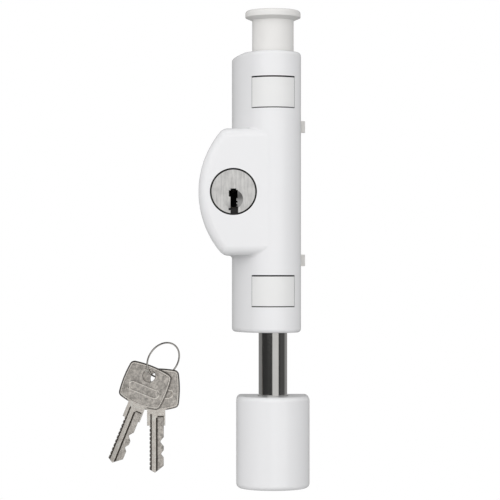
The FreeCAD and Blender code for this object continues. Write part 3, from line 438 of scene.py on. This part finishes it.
def screw_cover(name, sizes):
    """A screw cover whose upper and lower edges are set back, so that its gap shows."""
    shape = node_copy(name)
    top = max(vert.co.z for vert in shape.verts)
    bottom = min(vert.co.z for vert in shape.verts)
    for vert in shape.verts:
        if vert.co.z > top - NEAR:
            vert.co.z -= sizes.upper_gap
        elif vert.co.z < bottom + NEAR:
            vert.co.z += sizes.lower_gap
    round_edges(shape, keen_edges(shape), sizes.cover_edge)
    return shape


def ends_groove(face):
    """True for the wall at the upper end of a key's groove."""
    low, high = GROOVES_START
    return face.normal.z < -FACING and low < face.calc_center_median().z < high


def key_slot(face, half):
    """The material slot of a face of a key that is half a thickness deep on each side."""
    middle = face.calc_center_median()
    sunk = half - abs(middle.y)
    # Painted shade: groove floors, walls and upper ends get the near-black groove slot.
    if ends_groove(face):
        return GROOVE
    if abs(face.normal.y) > FACING:
        if sunk > DEEP_GROOVE or (sunk > SHALLOW_GROOVE and middle.x < SHALLOW_GROOVE_RIGHT):
            return GROOVE
        if sunk > FLUSH:
            return FIELD if middle.z > BOW_END else SIDE
        if middle.z > RIM_END:
            return RIM
        # Painted shade: the flat strip along the notches gets the darker notches slot.
        return NOTCHES if middle.x < NOTCHES_RIGHT and middle.z < NOTCHES_TOP else BLANK
    if abs(middle.y) < SIDE_HALF:
        return SIDE
    return BLANK if sunk < FLUSH else GROOVE


def on_bow(edge):
    """True for an edge between the side and a face of a key's bow."""
    finishes = sorted(face.material_index for face in edge.link_faces)
    high = all(vert.co.z > OUTLINE_END for vert in edge.verts)
    return high and finishes in ([BLANK, SIDE], [FIELD, SIDE], [SIDE, RIM])


def at_hole(edge):
    """True for an edge of a key's ring hole."""
    return all(vert.co.xz.length < HOLE_REACH for vert in edge.verts)


def key_blank(name, sizes, hole, lean):
    """A key whose faces are sorted into material slots, some of them painted shade, with a plain raised
    frame on both sides of its bow.
    """
    shape = node_copy(name)
    half = sizes.key_half
    place = Matrix.Translation(hole) @ Matrix.Rotation(math.radians(lean), 4, "Y")
    bmesh.ops.transform(shape, matrix=place.inverted(), verts=shape.verts)
    slopes = set()
    for face in shape.faces:
        face.material_index = key_slot(face, half)
        if ends_groove(face):
            slopes.update(vert for vert in face.verts if abs(vert.co.y) > half - NEAR)
    for vert in slopes:
        vert.co.z += sizes.run_out
    # Painted shade and dark reflection: every rounded edge gets the dark edge slot.
    rims = [edge for edge in keen_edges(shape) if on_bow(edge) and at_hole(edge)]
    round_edges(shape, rims, sizes.hole_edge, segments=3, finish=EDGE)
    outline = [edge for edge in keen_edges(shape) if on_bow(edge) and not at_hole(edge)]
    round_edges(shape, outline, sizes.bow_edge, segments=5, finish=EDGE)
    others = [e for e in keen_edges(shape) if all(f.material_index != EDGE for f in e.link_faces)]
    round_edges(shape, others, sizes.key_edge, finish=EDGE)
    for side in (-1, 1):
        add_frame(shape, sizes, side * (half - FIELD_DEPTH), side)
    bmesh.ops.transform(shape, matrix=place, verts=shape.verts)
    bmesh.ops.recalc_face_normals(shape, faces=shape.faces)
    return shape


def add_frame(shape, sizes, floor, side):
    """Adds a raised oblong line round a plain field: a ridge that is spun round both its ends."""
    width = sizes.frame_width
    radius = sizes.frame_height / 2
    reach = sizes.frame_length / 2 - radius
    known = set(shape.faces)
    start = [
        shape.verts.new((reach, floor + side * height, inset - radius - sizes.frame_drop))
        for inset, height in ((0.0, -FRAME_SUNK), (0.5 * width, FRAME_RAISED), (width, -FRAME_SUNK))
    ]
    ridge = [shape.edges.new(pair) for pair in zip(start, start[1:])]
    for middle in (reach, -reach):
        turned = bmesh.ops.spin(
            shape,
            geom=ridge,
            cent=(middle, 0.0, -sizes.frame_drop),
            axis=(0.0, -1.0, 0.0),
            angle=math.pi,
            steps=FRAME_STEPS,
        )
        last = [item for item in turned["geom_last"] if isinstance(item, bmesh.types.BMEdge)]
        drawn = bmesh.ops.extrude_edge_only(shape, edges=last)["geom"]
        ends = [item for item in drawn if isinstance(item, bmesh.types.BMVert)]
        bmesh.ops.translate(shape, verts=ends, vec=(-2 * middle, 0.0, 0.0))
        edges = [item for item in drawn if isinstance(item, bmesh.types.BMEdge)]
        ridge = [edge for edge in edges if all(vert in ends for vert in edge.verts)]
    bmesh.ops.remove_doubles(shape, verts=start + ends, dist=NEAR)
    for face in shape.faces:
        if face not in known:
            face.material_index = RIM


def show(name, shape, materials, body, replaced, sharp=SHARP):
    """Makes a bmesh a piece that rides on a body, in place of a CAD node."""
    mesh = bpy.data.meshes.new(name)
    for face in shape.faces:
        face.smooth = True
    limit = math.radians(sharp)
    for edge in shape.edges:
        edge.smooth = len(edge.link_faces) != 2 or edge.calc_face_angle() < limit
    shape.to_mesh(mesh)
    shape.free()
    for material in materials:
        mesh.materials.append(material)
    piece = bpy.data.objects.new(name, mesh)
    bpy.context.scene.collection.objects.link(piece)
    even = piece.modifiers.new("Even shading", "WEIGHTED_NORMAL")
    even.keep_sharp = True
    even.weight = 60
    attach(piece, body)
    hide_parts(replaced)


def paint_node(name, material):
    """A CAD node keeps its mesh and gets a material."""
    node = frame["nodes"][name]
    node.data.materials.clear()
    node.data.materials.append(material)


# Settings


def measure(name, about, default, **limits):
    """A length that the user may change, with its default in millimetres."""
    return FloatProperty(name=name, description=about, default=default * MM, unit="LENGTH", **limits)


def tint(name, about, default):
    """A colour that the user may change, with its default as linear values."""
    return FloatVectorProperty(
        name=name, description=about, subtype="COLOR", default=default, min=0, max=1
    )


class LockSizes(bpy.types.PropertyGroup):
    """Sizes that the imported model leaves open."""

    casing_edge: measure("Casing Edge", "Rounding of the paint at the openings", 0.15, min=0.0)
    cover_edge: measure("Cover Edge", "Rounding of the screw covers' edges", 0.12, min=0.0)
    plate_edge: measure("Plate Edge", "Rounding of the back plate's edges", 0.24, min=0.0)
    plug_edge: measure("Plug Edge", "Rounding of the cylinder plug's edges", 0.1, min=0.0)
    upper_gap: measure("Upper Gap", "Set-back of a screw cover's upper edge", 0.2, min=0.0)
    lower_gap: measure("Lower Gap", "Set-back of a screw cover's lower edge", 0.15, min=0.0)
    key_half: measure("Key Half", "Half a key's thickness", 0.9, min=0.0)
    key_edge: measure("Key Edge", "Rounding of a key's edges", 0.11, min=0.0)
    bow_edge: measure("Bow Edge", "Rounding round a key's bow", 0.6, min=0.0)
    hole_edge: measure("Hole Edge", "Rounding of a key's ring hole", 0.2, min=0.0)
    frame_length: measure("Frame Length", "Raised frame on the bow", 14.1)
    frame_height: measure("Frame Height", "Raised frame on the bow", 4.3)
    frame_width: measure("Frame Width", "Line of the raised frame", 0.8)
    frame_drop: measure("Frame Drop", "Frame's middle below the ring hole", 6.2)
    run_out: measure("Run Out", "Slope at the upper end of a key's groove", 0.45)
    first_lean: FloatProperty(
        name="First Lean", description="Lean of the first key, in degrees", default=22.0
    )


class LockColours(bpy.types.PropertyGroup):
    """Colours of the lock's finishes."""

    paint: tint("Paint", "Powder coat", (0.8, 0.8, 0.81))
    # Painted shade: near black, for the shade in the bores, gaps, keyway and the cylinder housing's
    # bore.
    recess_shade: tint("Recess Shade", "Casting in the bores", (0.025, 0.024, 0.022))
    covers: tint("Covers", "Screw covers", (0.78, 0.78, 0.775))
    knob: tint("Knob", "Knob", (0.775, 0.765, 0.75))
    nickel: tint("Nickel", "Plated bolt", (0.66, 0.65, 0.63))
    face: tint("Face", "Cylinder face", (0.9, 0.89, 0.87))
    keys: tint("Keys", "Key blanks", (0.735, 0.69, 0.635))
    # Painted shade: near black in the keys' grooves and on the walls at their upper ends.
    groove_shade: tint("Groove Shade", "Floors of the keys' grooves", (0.09, 0.075, 0.06))
    wire: tint("Wire", "Key ring", (0.52, 0.5, 0.465))
    grey: tint("Grey", "Back plate", (0.72, 0.71, 0.685))
    brass: tint("Brass", "Housing and pins", (0.62, 0.45, 0.2))
    steel: tint("Steel", "Screws and clips", (0.5, 0.5, 0.49))
    casting: tint("Casting", "Cast keeper block", (0.4, 0.4, 0.41))
    # Painted shade: the slider is near black so that it reads as shade where it shows.
    blackened: tint("Slider Shade", "Cast slider", (0.03, 0.03, 0.03))
    pale: tint("Pale", "Guide bush", (0.75, 0.74, 0.7))
    black: tint("Black", "Rubber damper", (0.03, 0.03, 0.03))


class StudioSettings(bpy.types.PropertyGroup):
    """Camera and light."""

    distance: measure("Distance", "Camera to the bolt's axis", 850, min=0.1)
    pixel: measure("Pixel", "Width of one of the picture's 500 pixels at the bolt's axis", 0.42)
    axis_depth: measure("Axis Depth", "Bolt axis in front of the wall", 13)
    camera_x: measure("Camera X", "Sideways", -9.62)
    camera_z: measure("Camera Z", "Height", -34.2)
    rise: FloatProperty(
        name="Rise",
        description="View above the camera's level, as a share of the picture's width",
        default=0.048,
    )
    floor_z: measure("Floor", "Height of the floor", -450)
    dome: FloatProperty(name="Dome", description="Light from all round", default=0.6, min=0.0)
    top: FloatProperty(name="Top", description="Share of the light that the top lacks", default=0.35)
    front: FloatProperty(name="Front", description="More light from the front", default=1.81, min=0.0)


# Operators


class LOCK_OT_casing(bpy.types.Operator):
    """Casing with its back plate and screw covers"""

    bl_idname = "window_lock.casing"
    bl_label = "Casing"

    def execute(self, context):
        sizes = context.scene.lock_sizes
        colours = context.scene.lock_colours
        paint = powder_coat("white powder coat", colours.paint, colours.recess_shade, inside_casing)
        cover = moulded_plastic("white cover plastic", colours.covers, 0.2)
        grey = moulded_plastic("warm grey plastic", colours.grey, 0.5)
        casing = node_copy("body_casing", sizes.casing_edge)
        show("painted_casing", casing, [paint], "frame", "body_casing")
        for name in ("upper_cap", "lower_cap"):
            plate = screw_cover(name, sizes)
            show(name + "_cover", plate, [cover], "frame", name)
        plate = node_copy("back_plate", sizes.plate_edge)
        show("moulded_back_plate", plate, [grey], "frame", "back_plate")
        return {"FINISHED"}


class LOCK_OT_bolt(bpy.types.Operator):
    """Bolt and knob"""

    bl_idname = "window_lock.bolt"
    bl_label = "Bolt and Knob"

    def execute(self, context):
        colours = context.scene.lock_colours
        nickel = polished_nickel("polished nickel", colours.nickel)
        white = moulded_plastic("knob plastic", colours.knob, 0.2)
        show("plated_bolt", node_copy("bolt"), [nickel], "bolt_and_knob", "bolt")
        show("push_knob", node_copy("knob"), [white], "bolt_and_knob", "knob")
        return {"FINISHED"}


class LOCK_OT_cylinder(bpy.types.Operator):
    """Face and plug of the keyed cylinder"""

    bl_idname = "window_lock.cylinder"
    bl_label = "Cylinder"

    def execute(self, context):
        sizes = context.scene.lock_sizes
        colours = context.scene.lock_colours
        face = brushed_plug("brushed cylinder face", colours.face, colours.recess_shade)
        show(
            "brushed_plug",
            node_copy("cylinder_plug", sizes.plug_edge),
            [face],
            "plug_and_crank",
            "cylinder_plug",
            sharp=HOLLOW_SHARP,
        )
        return {"FINISHED"}


class LOCK_OT_keeper(bpy.types.Operator):
    """Keeper that the bolt enters"""

    bl_idname = "window_lock.keeper"
    bl_label = "Keeper"

    def execute(self, context):
        sizes = context.scene.lock_sizes
        colours = context.scene.lock_colours
        paint = powder_coat("white keeper coat", colours.paint, colours.recess_shade, inside_keeper)
        shell = node_copy("keeper_cover", sizes.casing_edge)
        show("keeper_shell", shell, [paint], "frame", "keeper_cover")
        return {"FINISHED"}


class LOCK_OT_keys(bpy.types.Operator):
    """Keys and the wire ring that holds them"""

    bl_idname = "window_lock.keys"
    bl_label = "Keys"

    def execute(self, context):
        sizes = context.scene.lock_sizes
        colours = context.scene.lock_colours
        # In the order of a key's material slots
        finishes = [
            worn_metal("key nickel silver", shade(colours.keys, 1.2), 0.26, 0.3),
            worn_metal("key field", colours.keys, 0.34, 0.5, 0.12 * MM),
            # Painted shade in the grooves
            worn_metal("key groove", colours.groove_shade, 0.5, 0.4),
            worn_metal("key side", shade(colours.keys, 1.02), 0.36, 0.5, 0.06 * MM),
            worn_metal("key rim", shade(colours.keys, 1.36), 0.2, 0.2),
            # Painted shade and dark reflection on the rounded edges
            worn_metal("key edge", shade(colours.keys, 0.36), 0.2, 0.1),
            # Painted shade on the strip along the notches
            worn_metal("key notches", shade(colours.keys, 0.5), 0.3, 0.5),
        ]
        wire = polished_nickel("ring wire", colours.wire)
        for name, piece, body, lean in (
            ("key_front", "first_key_blank", "first_key", sizes.first_lean),
            ("key_back", "second_key_blank", "second_key", 0.0),
        ):
            blank = key_blank(name, sizes, self.hole(body), lean)
            show(piece, blank, finishes, body, name)
        show("wire_ring", node_copy("key_ring"), [wire], "ring", "key_ring")
        return {"FINISHED"}

    def hole(self, body):
        """The middle of a key's ring hole, where its hinge is."""
        joints = frame["record"]["behaviour"]["joints"]
        return Vector(next(joint["pos_m"] for joint in joints if joint["child"] == body))


class LOCK_OT_inside(bpy.types.Operator):
    """Finishes of the pieces inside the casing and keeper"""

    bl_idname = "window_lock.inside"
    bl_label = "Inside"

    def execute(self, context):
        colours = context.scene.lock_colours
        brass = old_brass("turned brass", colours.brass, colours.recess_shade)
        steel = worn_metal("plain steel", colours.steel, 0.36)
        casting = worn_metal("zinc casting", colours.casting, 0.5)
        # Painted shade: near-black slider
        blackened = worn_metal("blackened casting", colours.blackened, 0.5)
        pale = moulded_plastic("pale nylon", colours.pale, 0.45)
        damper = rubber("damper rubber", colours.black)
        finishes = {
            "guide_bush": pale,
            "stop_washer": damper,
            "knob_pin": steel,
            "stop_ring": steel,
            "cylinder_housing": brass,
            "spring_strip": brass,
            "key_pins": brass,
            "driver_pins": brass,
            "pin_springs": steel,
            "crank_pin": steel,
            "plug_clip": steel,
            "cylinder_screw": steel,
            "locking_slider": blackened,
            "keeper_block": casting,
        }
        for name, material in finishes.items():
            paint_node(name, material)
        return {"FINISHED"}


def cards(shader, x, y, above):
    """What the gloss shows: a pale card ahead, wider where above is 1, and the sides of the backdrop."""
    bearing = shader.node("ShaderNodeMath", {"operation": "ARCTAN2"}, {0: x, 1: y * -1.0})
    turn = bearing * math.degrees(1.0)
    left = turn.ramp(*CARD_LEFT).larger(turn.ramp(*CARD_LEFT_ABOVE) * above)
    level = ROOM_LEVEL + left * turn.within(CARD_RIGHT) * CARD_LEVEL
    for side in BACKDROP:
        level = level + turn.ramp(*side)
    return level


class LOCK_OT_stage(bpy.types.Operator):
    """Floor, soft light and camera"""

    bl_idname = "window_lock.stage"
    bl_label = "Stage"

    def execute(self, context):
        studio = context.scene.lock_studio
        self.light_world(context.scene, studio)
        self.lay_floor(context.scene, studio)
        self.set_camera(context.scene, studio)
        context.scene.view_settings.view_transform = "Standard"
        return {"FINISHED"}

    def light_world(self, scene, studio):
        """White behind the lock, a soft dome with more from the front, and studio cards in the metal."""
        world = bpy.data.worlds.new("studio")
        scene.world = world
        world.use_nodes = True
        shader = Shader(world.node_tree)
        direction = shader.node("ShaderNodeTexCoord", output="Generated")
        x, y, z = (shader.axis(direction, index) for index in range(3))
        forward = (x * TOWARDS_LIGHT[0] + y * TOWARDS_LIGHT[1]).larger(0.0)
        overhead = z.ramp(0.0, 1.0) * studio.top
        level = (studio.dome + forward * studio.front) * (1.0 - overhead)
        gloss = cards(shader, x, y, z.ramp(*HORIZON)) * z.ramp(*CARD_TOP)
        for ray, seen in (("Glossy", gloss), ("Transmission", 1.0), ("Camera", 1.0)):
            by_ray = shader.node("ShaderNodeLightPath", output=f"Is {ray} Ray")
            level = shader.node("ShaderNodeMix", {"data_type": "FLOAT"}, {0: by_ray, 2: level, 3: seen})
        light = shader.node("ShaderNodeBackground", None, {"Color": (1, 1, 1, 1), "Strength": level})
        shader.node("ShaderNodeOutputWorld", None, {"Surface": light})

    def lay_floor(self, scene, studio):
        """A pale floor whose far part is as white as the backdrop."""
        shape = bmesh.new()
        bmesh.ops.create_circle(shape, cap_ends=True, segments=96, radius=FLOOR_RADIUS)
        bmesh.ops.translate(shape, verts=shape.verts, vec=(0, 0, studio.floor_z))
        mesh = bpy.data.meshes.new("floor")
        shape.to_mesh(mesh)
        shape.free()
        floor = bpy.data.objects.new("floor", mesh)
        scene.collection.objects.link(floor)
        material = bpy.data.materials.new("pale floor")
        material.use_nodes = True
        shader = Shader(material.node_tree)
        where = shader.node("ShaderNodeTexCoord", output="Object")
        reach = shader.reach(where, (0.0, 0.0, 0.0), (1.0, 1.0, 0.0))
        seen = shader.node("ShaderNodeLightPath", output="Is Camera Ray")
        glossy = shader.node("ShaderNodeLightPath", output="Is Glossy Ray")
        colour = shader.blend(seen, (FLOOR_LIT,) * 3 + (1.0,), (FLOOR_SEEN,) * 3 + (1.0,))
        pale = shader.node("ShaderNodeBsdfDiffuse", None, {"Color": colour})
        far = reach.ramp(*FLOOR_FAR)
        around = cards(shader, shader.axis(where, 0), shader.axis(where, 1), 0.0)
        level = seen + glossy * (around * far + FLOOR_GLOSS * (1.0 - far))
        light = shader.node("ShaderNodeEmission", None, {"Color": (1, 1, 1, 1), "Strength": level})
        fade = (reach.ramp(*FLOOR_WHITE) * seen).larger(glossy)
        both = shader.node("ShaderNodeMixShader", None, {0: fade, 1: pale, 2: light})
        shader.node("ShaderNodeOutputMaterial", None, {"Surface": both})
        mesh.materials.append(material)

    def set_camera(self, scene, studio):
        data = bpy.data.cameras.new("photograph")
        data.sensor_width = SENSOR_WIDTH
        data.lens = SENSOR_WIDTH * studio.distance / (PICTURE_WIDTH * studio.pixel)
        data.shift_y = studio.rise
        data.clip_start = 0.01
        data.clip_end = 50.0
        camera = bpy.data.objects.new("photograph", data)
        camera.location = (studio.camera_x, -studio.axis_depth - studio.distance, studio.camera_z)
        camera.rotation_euler = (math.radians(90.0), 0.0, 0.0)
        scene.collection.objects.link(camera)
        scene.camera = camera


class LOCK_PT_panel(bpy.types.Panel):
    """Lists the lock's pieces and settings"""

    bl_idname = "LOCK_PT_panel"
    bl_label = "Window Lock"
    bl_space_type = "VIEW_3D"
    bl_region_type = "UI"
    bl_category = "Window Lock"

    def draw(self, context):
        layout = self.layout
        for step in STEPS:
            layout.operator(step.bl_idname)
        for group in ("lock_sizes", "lock_colours", "lock_studio"):
            box = layout.box()
            settings = getattr(context.scene, group)
            for name in settings.bl_rna.properties.keys():
                if name not in ("rna_type", "name"):
                    box.prop(settings, name)


STEPS = (
    LOCK_OT_casing,
    LOCK_OT_bolt,
    LOCK_OT_cylinder,
    LOCK_OT_keeper,
    LOCK_OT_keys,
    LOCK_OT_inside,
    LOCK_OT_stage,
)
CLASSES = (LockSizes, LockColours, StudioSettings) + STEPS + (LOCK_PT_panel,)


def register():
    for cls in CLASSES:
        bpy.utils.register_class(cls)
    bpy.types.Scene.lock_sizes = PointerProperty(type=LockSizes)
    bpy.types.Scene.lock_colours = PointerProperty(type=LockColours)
    bpy.types.Scene.lock_studio = PointerProperty(type=StudioSettings)


def unregister():
    del bpy.types.Scene.lock_sizes
    del bpy.types.Scene.lock_colours
    del bpy.types.Scene.lock_studio
    for cls in reversed(CLASSES):
        bpy.utils.unregister_class(cls)


def main():
    register()
    for step in STEPS:
        family, name = step.bl_idname.split(".")
        getattr(getattr(bpy.ops, family), name)()


if __name__ == "__main__":
    main()
